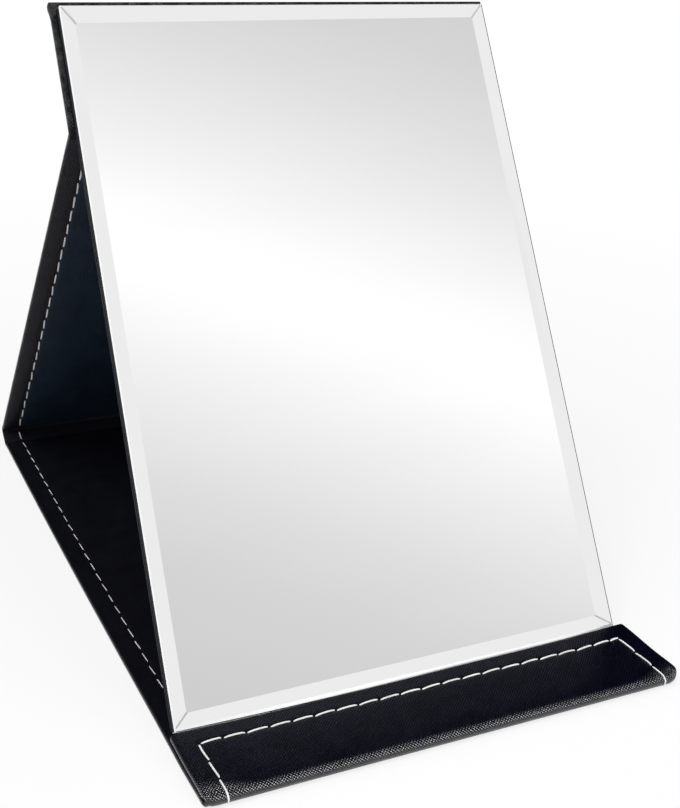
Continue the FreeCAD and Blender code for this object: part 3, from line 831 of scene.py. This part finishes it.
def sew(name, panel, body, free_end, outer_crown, inner_crown, fill,
        inner_radius=THREAD_RADIUS, arch=0.0):
    """The seam of a panel; a crown is the height of its stitches' middle line over a face."""
    tubes = []
    for row in seam_rows(panel, free_end):
        tubes += stitch_row(row, 0.0, -1, outer_crown, fill, -SLANT, arch=arch)
        if inner_crown is not None:
            tubes += stitch_row(row, THICK, 1, inner_crown, fill, SLANT, inner_radius)
    points, faces, uvs = joined(tubes)
    piece = make(name, placed(points, panel), faces, uvs, [THREAD])
    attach(piece, body)
    return piece


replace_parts(sew("base_seam", "base", "base", False, outer_crown=-0.41, inner_crown=-0.25,
                fill=0.78, inner_radius=0.25), "base_stitching")
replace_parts(sew("leg_seam", "leg", "leg", False, outer_crown=-0.12, inner_crown=-0.18,
                fill=0.84), "leg_stitching")
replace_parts(sew("strip_seam", "strip", "mirror", True, outer_crown=-0.12, inner_crown=None,
                fill=0.88), "strip_stitching")
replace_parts(sew("flap_seam", "flap", "flap", True, outer_crown=-0.1, inner_crown=-0.2,
                fill=0.96, arch=0.22), "flap_stitching")


def sew_spine():
    """The seams run on over the spine."""
    tubes = []
    for x in (SIDE_INSET, STAND_WIDTH - SIDE_INSET):
        for surface, outward in ((0.0, -1), (PLY, 1)):
            row = (np.array((x, 0.1)), np.array((x, SPANS["spine"][1] - 0.1)), 1, 0.0)
            tubes += stitch_row(row, surface, outward, -0.15, 1.0, SLANT * outward)
    points, faces, uvs = joined(tubes)
    spine = make("spine_seam", to_row(points, "spine"), faces, uvs, [THREAD])
    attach(spine, "rear_spine")


def sew_nose():
    """The flap's last stitch of each side runs on round the nose of the base."""
    flat, bent = 9, 19
    turn = np.radians(np.concatenate((np.full(flat, 90), np.linspace(90, 264, bent))))
    back = np.linspace(NOSE_STITCH + SETBACK - 0.2, 0.3, flat)
    out = np.column_stack((np.zeros(flat + bent), np.cos(turn), np.sin(turn)))
    share = np.linspace(-1, 1, flat + bent)
    reach = NOSE_RADIUS - 0.1 - 0.5 * np.abs(share) ** 12
    tubes = []
    for x in (SIDE_INSET - WIDTH / 2, WIDTH / 2 - SIDE_INSET):
        path = np.array((0, *FRONT)) + out * reach[:, None]
        path[:, X] = x + 0.25 * share
        path[:flat, Y] += back
        tubes.append(thread_tube(path, out))
    points, faces, uvs = joined(tubes)
    nose = make("nose_seam", shape_nose(points), faces, uvs, [THREAD])
    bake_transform(nose)


sew_spine()
sew_nose()

# Mirror: a plate with ground edges, arrises, four bevels and the mitre lines between them; the
# arrises and mitres are painted shade, near black and grey.
# Each ring: left, right, bottom and top insets, bow of its lower edge, cut of its corners, level
GLASS_RINGS = (
    (1.2, 1.2, 1.2, 1.2, 0.0, 0.3, 2.4),
    (0.2, 0.2, 0.2, 0.2, 0.0, 0.3, 2.4),
    (0.0, 0.0, 0.0, 0.0, 0.0, 0.3, 2.6),
    (0.5, -0.5, 0.1, -0.2, 0.8, 0.3, 3.75),
    (0.65, -0.55, 0.1, -0.4, 1.3, 0.3, 4.0),
    (0.7, -0.45, 0.35, -0.4, 1.2, 0.3, 4.15),
    (0.75, -0.28, 0.6, -0.35, 1.1, 0.35, 4.25),
    (0.85, 0.12, 1.5, -0.1, 0.3, 0.4, 4.5),
)
# Corners of the flat face: bottom left, bottom right, top right, top left; its cut and level
FLAT_FACE = (((5.65, 6.3), (187.0, 6.5), (188.1, 275.5), (5.65, 274.4)), 0.0, 0.55, 5.4)
GLASS_STEPS = 16
# The mitre at the top left is the widest, from the level where the bevels begin
WIDE_MITRE, BEVEL_LEVEL = 1.35, 4.4


def glass_outlines():
    """Corners, bow, cut and level of each ring of the plate."""
    wide, tall = GLASS_WIDE, GLASS_TALL
    for left, right, bottom, top, bow, cut, level in GLASS_RINGS:
        corners = ((left, bottom), (wide - right, bottom),
                   (wide - right, tall - top), (left, tall - top))
        yield corners, bow, cut, level
    yield FLAT_FACE


def glass_plate():
    points = []
    for ((ax, ay), (bx, by), (cx, cy), (dx, dy)), bow, cut, level in glass_outlines():
        wider = cut * (WIDE_MITRE if level > BEVEL_LEVEL else 1.0)
        for share in np.linspace(0, 1, GLASS_STEPS + 1):
            low = ay + (by - ay) * share - bow * (1 - (2 * share - 1) ** 2)
            points.append((ax + cut + (bx - ax - 2 * cut) * share, low, level))
        points += [(bx, by + cut, level), (cx, cy - cut, level), (cx - cut, cy, level),
                   (dx + wider, dy, level), (dx, dy - wider, level), (ax, ay + cut, level)]
    # Sides: bottom, then corner and side by turns over the right, the top and the left
    sides = ["bottom"] * GLASS_STEPS
    sides += ["corner", "right", "corner", "top", "corner", "left", "corner"]
    around = len(sides)
    mirror, rim, shaded_arris, glue, shaded_mitre = range(5)
    # Faces of each ring by side: the light rim is the ground edge's own colour; its near-black and
    # grey bands are painted shade
    kinds = (
        {"": glue},
        {"": rim},
        {"": rim, "left": shaded_arris, "right": shaded_arris},
        {"": rim, "right": shaded_arris, "top": shaded_mitre, "bottom": shaded_mitre},
        {"": rim, "right": shaded_arris, "top": shaded_mitre},
        {"": rim, "right": shaded_arris, "top": shaded_mitre, "bottom": shaded_arris},
        {"": rim, "right": shaded_arris, "top": shaded_mitre},
        {"": mirror, "corner": shaded_mitre},
    )
    faces, slots = [], []
    for ring, kind in enumerate(kinds):
        low, high = ring * around, ring * around + around
        for number, side in enumerate(sides):
            after = (number + 1) % around
            faces.append((low + number, low + after, high + after, high + number))
            slots.append(kind.get(side, kind[""]))
    faces.append(tuple(range(len(points) - around, len(points))))
    faces.append(tuple(reversed(range(around))))
    slots += [mirror, glue]
    mesh = bpy.data.meshes.new("bevelled_glass")
    mesh.from_pydata((to_row(np.array(points), "mirror") * MM).tolist(), [], faces)
    for material in (MIRROR, RIM, ARRIS_PAINTED_SHADE, GLUE, MITRE_PAINTED_SHADE):
        mesh.materials.append(material)
    mesh.polygons.foreach_set("material_index", np.array(slots, np.int32))
    mesh.update()
    piece = link("bevelled_glass", mesh)
    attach(piece, "mirror")
    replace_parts(piece, "mirror_glass")


glass_plate()

BACK_MARKS = np.array((0, 0.08, 0.2, 0.35, 0.6, 1.0, 2.0, 4.0))
BACK_LEVELS = np.array((0, 0.08, 0.2, 0.35, 0.6, 1.0, 1.5, 2.0))
BACK_HEAP = 0.04
# The wrap lies flat under the strip, from this height on
STRIP_START = 225


def mirror_back():
    """Leather-look wrap on the mirror's back, turned over its four edges."""
    wide, tall = GLASS_WIDE, GLASS_TALL
    xs, ys = (lines(np.concatenate((BACK_MARKS, span - BACK_MARKS)),
                    np.linspace(8, span - 8, count), 1.0)
              for span, count in ((wide, 40), (tall, 60)))
    points, where, faces, uvs, _ = grid_box(xs, ys, BACK_LEVELS)
    x, y = points[:, X].copy(), points[:, Y].copy()
    edge = np.minimum(np.minimum(x, wide - x), np.minimum(y, tall - y))
    lift = BACK_HEAP * (1 + ripple(x, y, 0.7)) * fade(edge - 0.5, 4.0) * fade(STRIP_START - y, 8.0)
    points[:, Z] += np.where(where[:, Z] == 0, lift, 0)
    ends = ((0, 1), (tall, -1))
    for at, way in ((0, 1), (wide, -1)):
        round_pair(points, X, at, way, Z, 0, 1, 0.6)
        for end, inward in ends:
            round_pair(points, X, at, way, Y, end, inward, 0.8)
    for end, inward in ends:
        round_pair(points, Y, end, inward, Z, 0, 1, 0.6)
    piece = make("mirror_back_cover", to_row(points, "mirror"), faces, uvs, [BACK])
    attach(piece, "mirror")
    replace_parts(piece, "mirror_back_wrap")


mirror_back()

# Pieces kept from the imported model
KEPT = {
    "base_board": BOARD, "leg_board": BOARD, "strip_board": BOARD,
    "mirror_back_board": BOARD, "glass_mounting_tape": GLUE, "strip_glue_sheet": GLUE,
    "flap_magnets": MAGNET, "strip_magnets": MAGNET,
}
for node, material in KEPT.items():
    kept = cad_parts[node]
    for index in range(max(1, len(kept.material_slots))):
        if not kept.material_slots:
            kept.data.materials.append(material)
        kept.material_slots[index].material = material

# Floor, world, lights and camera, in metres
FLOOR_HALF, FLOOR_LEVEL = 6.0, -0.0002
# Direction across the band of light that the mirror reflects, where its middle lies, and its
# greys by the distance from there
BAND_WAY, BAND_MIDDLE = (0.293, 0.85, 0.438), -0.1705
BAND_GREYS = ((0, 1.04), (0.03, 1.01), (0.09, 0.877), (0.15, 0.752), (0.2, 0.68), (0.27, 0.635))
REFLECTOR_WAY = (0.42, -0.676, 0.606)
# Camera fitted to the photograph: yaw, pitch and roll, place, and its picture in pixels
CAMERA_ANGLES = (27.3531, 20.3562, 3.8898)
CAMERA_PLACE = (-0.24152, -0.50804, 0.32658)
FOCAL_PIXELS, PICTURE_TALL, SENSOR = 1378.43, 808, 36.0
PICTURE_SHIFT = (-13.33, -92.61)


def lay_floor():
    """A pale floor with a soft shadow near the part, white further away."""
    mesh = bpy.data.meshes.new("floor")
    corners = ((-1, -1), (1, -1), (1, 1), (-1, 1))
    mesh.from_pydata([(x * FLOOR_HALF, y * FLOOR_HALF, 0) for x, y in corners], [], [(0, 1, 2, 3)])
    floor = link("floor", mesh)
    floor.location.z = FLOOR_LEVEL
    material, tree, shader = principled("pale_floor", {
        "Base Color": (0.9, 0.9, 0.9, 1), "Roughness": 0.9, "Specular IOR Level": 0.1})
    path = add(tree, "LightPath").outputs
    strength = spread(tree, path["Is Glossy Ray"], 1.0, 1.8)
    white = add(tree, "Emission", {"Color": (1, 1, 1, 1), "Strength": strength})
    seen = maths(tree, "MAXIMUM", path["Is Camera Ray"], path["Is Glossy Ray"])
    place = add(tree, "TexCoord").outputs["Object"]
    away = vector_maths(tree, "LENGTH", {0: place}, "Value")
    clear = spread(tree, away, 0.78, 1.0, 0.2, 0.7, **SOFT)
    share = maths(tree, "MULTIPLY", seen, clear)
    mixed = add(tree, "MixShader", {0: share, 1: shader.outputs[0], 2: white.outputs[0]})
    tree.links.new(mixed.outputs[0], tree.nodes["Material Output"].inputs["Surface"])
    mesh.materials.append(material)


def light_world():
    """White for the camera, a studio for what reflects, and an even light for the rest."""
    world = bpy.data.worlds.new("studio")
    bpy.context.scene.world = world
    world.use_nodes = True
    tree = world.node_tree
    tree.nodes.clear()
    way = add(tree, "TexCoord").outputs["Generated"]
    path = add(tree, "LightPath").outputs
    across = vector_maths(tree, "DOT_PRODUCT", {0: way, 1: BAND_WAY}, "Value")
    offset = maths(tree, "ABSOLUTE", maths(tree, "SUBTRACT", across, BAND_MIDDLE))
    tones = ramp(tree, offset, [(place, (value,) * 3) for place, value in BAND_GREYS])

    # A round white reflector in front of the mirror, its middle shaded, in a dim room
    gap = vector_maths(tree, "DISTANCE", {0: way, 1: REFLECTOR_WAY}, "Value")
    ahead = spread(tree, gap, 0.0, 1.0, 0.31, 0.38, **SOFT)
    around = spread(tree, gap, 0.86, 0.05, 0.62, 0.8, **SOFT)
    parts = add(tree, "SeparateXYZ", {0: way}).outputs
    under = spread(tree, parts["Y"], 1.0, 0.05, -0.25, -0.2)
    around = maths(tree, "MULTIPLY", around, under)
    wall = spread(tree, parts["X"], 0.45, 0.0, -0.45, -0.25)
    around = maths(tree, "MAXIMUM", around, wall)
    tones = mix_colours(tree, ahead, tones, around)
    shown = mix_colours(tree, path["Is Camera Ray"], tones, (1, 1, 1, 1))
    seen = maths(tree, "MAXIMUM", path["Is Camera Ray"], path["Is Glossy Ray"])
    seen = maths(tree, "MAXIMUM", seen, path["Is Transmission Ray"])
    lit = add(tree, "Background", {"Color": (1, 1, 1, 1), "Strength": 0.55})
    show = add(tree, "Background", {"Color": shown, "Strength": 1.0})
    mixed = add(tree, "MixShader", {0: seen, 1: lit.outputs[0], 2: show.outputs[0]})
    out = add(tree, "OutputWorld")
    tree.links.new(mixed.outputs[0], out.inputs["Surface"])


def soft_box(name, place, target, size, power):
    data = bpy.data.lights.new(name, "AREA")
    data.shape = "RECTANGLE"
    data.size, data.size_y = size
    data.energy = power
    lamp = link(name, data)
    lamp.location = place
    lamp.rotation_euler = (Vector(target) - Vector(place)).to_track_quat("-Z", "Y").to_euler()


def place_camera():
    yaw, pitch, roll = (math.radians(angle) for angle in CAMERA_ANGLES)
    level = math.cos(pitch)
    ahead = Vector((math.sin(yaw) * level, math.cos(yaw) * level, -math.sin(pitch)))
    right = ahead.cross(Vector((0, 0, 1))).normalized()
    up = right.cross(ahead)
    tilted_right = math.cos(roll) * right + math.sin(roll) * up
    tilted_up = math.cos(roll) * up - math.sin(roll) * right
    data = bpy.data.cameras.new("camera")
    data.sensor_width = SENSOR
    data.lens = FOCAL_PIXELS / PICTURE_TALL * SENSOR
    data.shift_x, data.shift_y = (shift / PICTURE_TALL for shift in PICTURE_SHIFT)
    data.clip_start = 0.01
    camera = link("camera", data)
    turn = Matrix((tilted_right, tilted_up, -ahead)).transposed().to_4x4()
    camera.matrix_world = Matrix.Translation(CAMERA_PLACE) @ turn
    bpy.context.scene.camera = camera


lay_floor()
light_world()
soft_box("key_light", (-0.7, -0.35, 1.5), (0, 0, 0.05), (0.9, 0.9), 14.0)
soft_box("front_light", (0.86, -1.86, 0.49), (0, -0.12, 0.0), (1.5, 0.32), 16.0)
place_camera()
bpy.context.scene.view_settings.view_transform = "Standard"
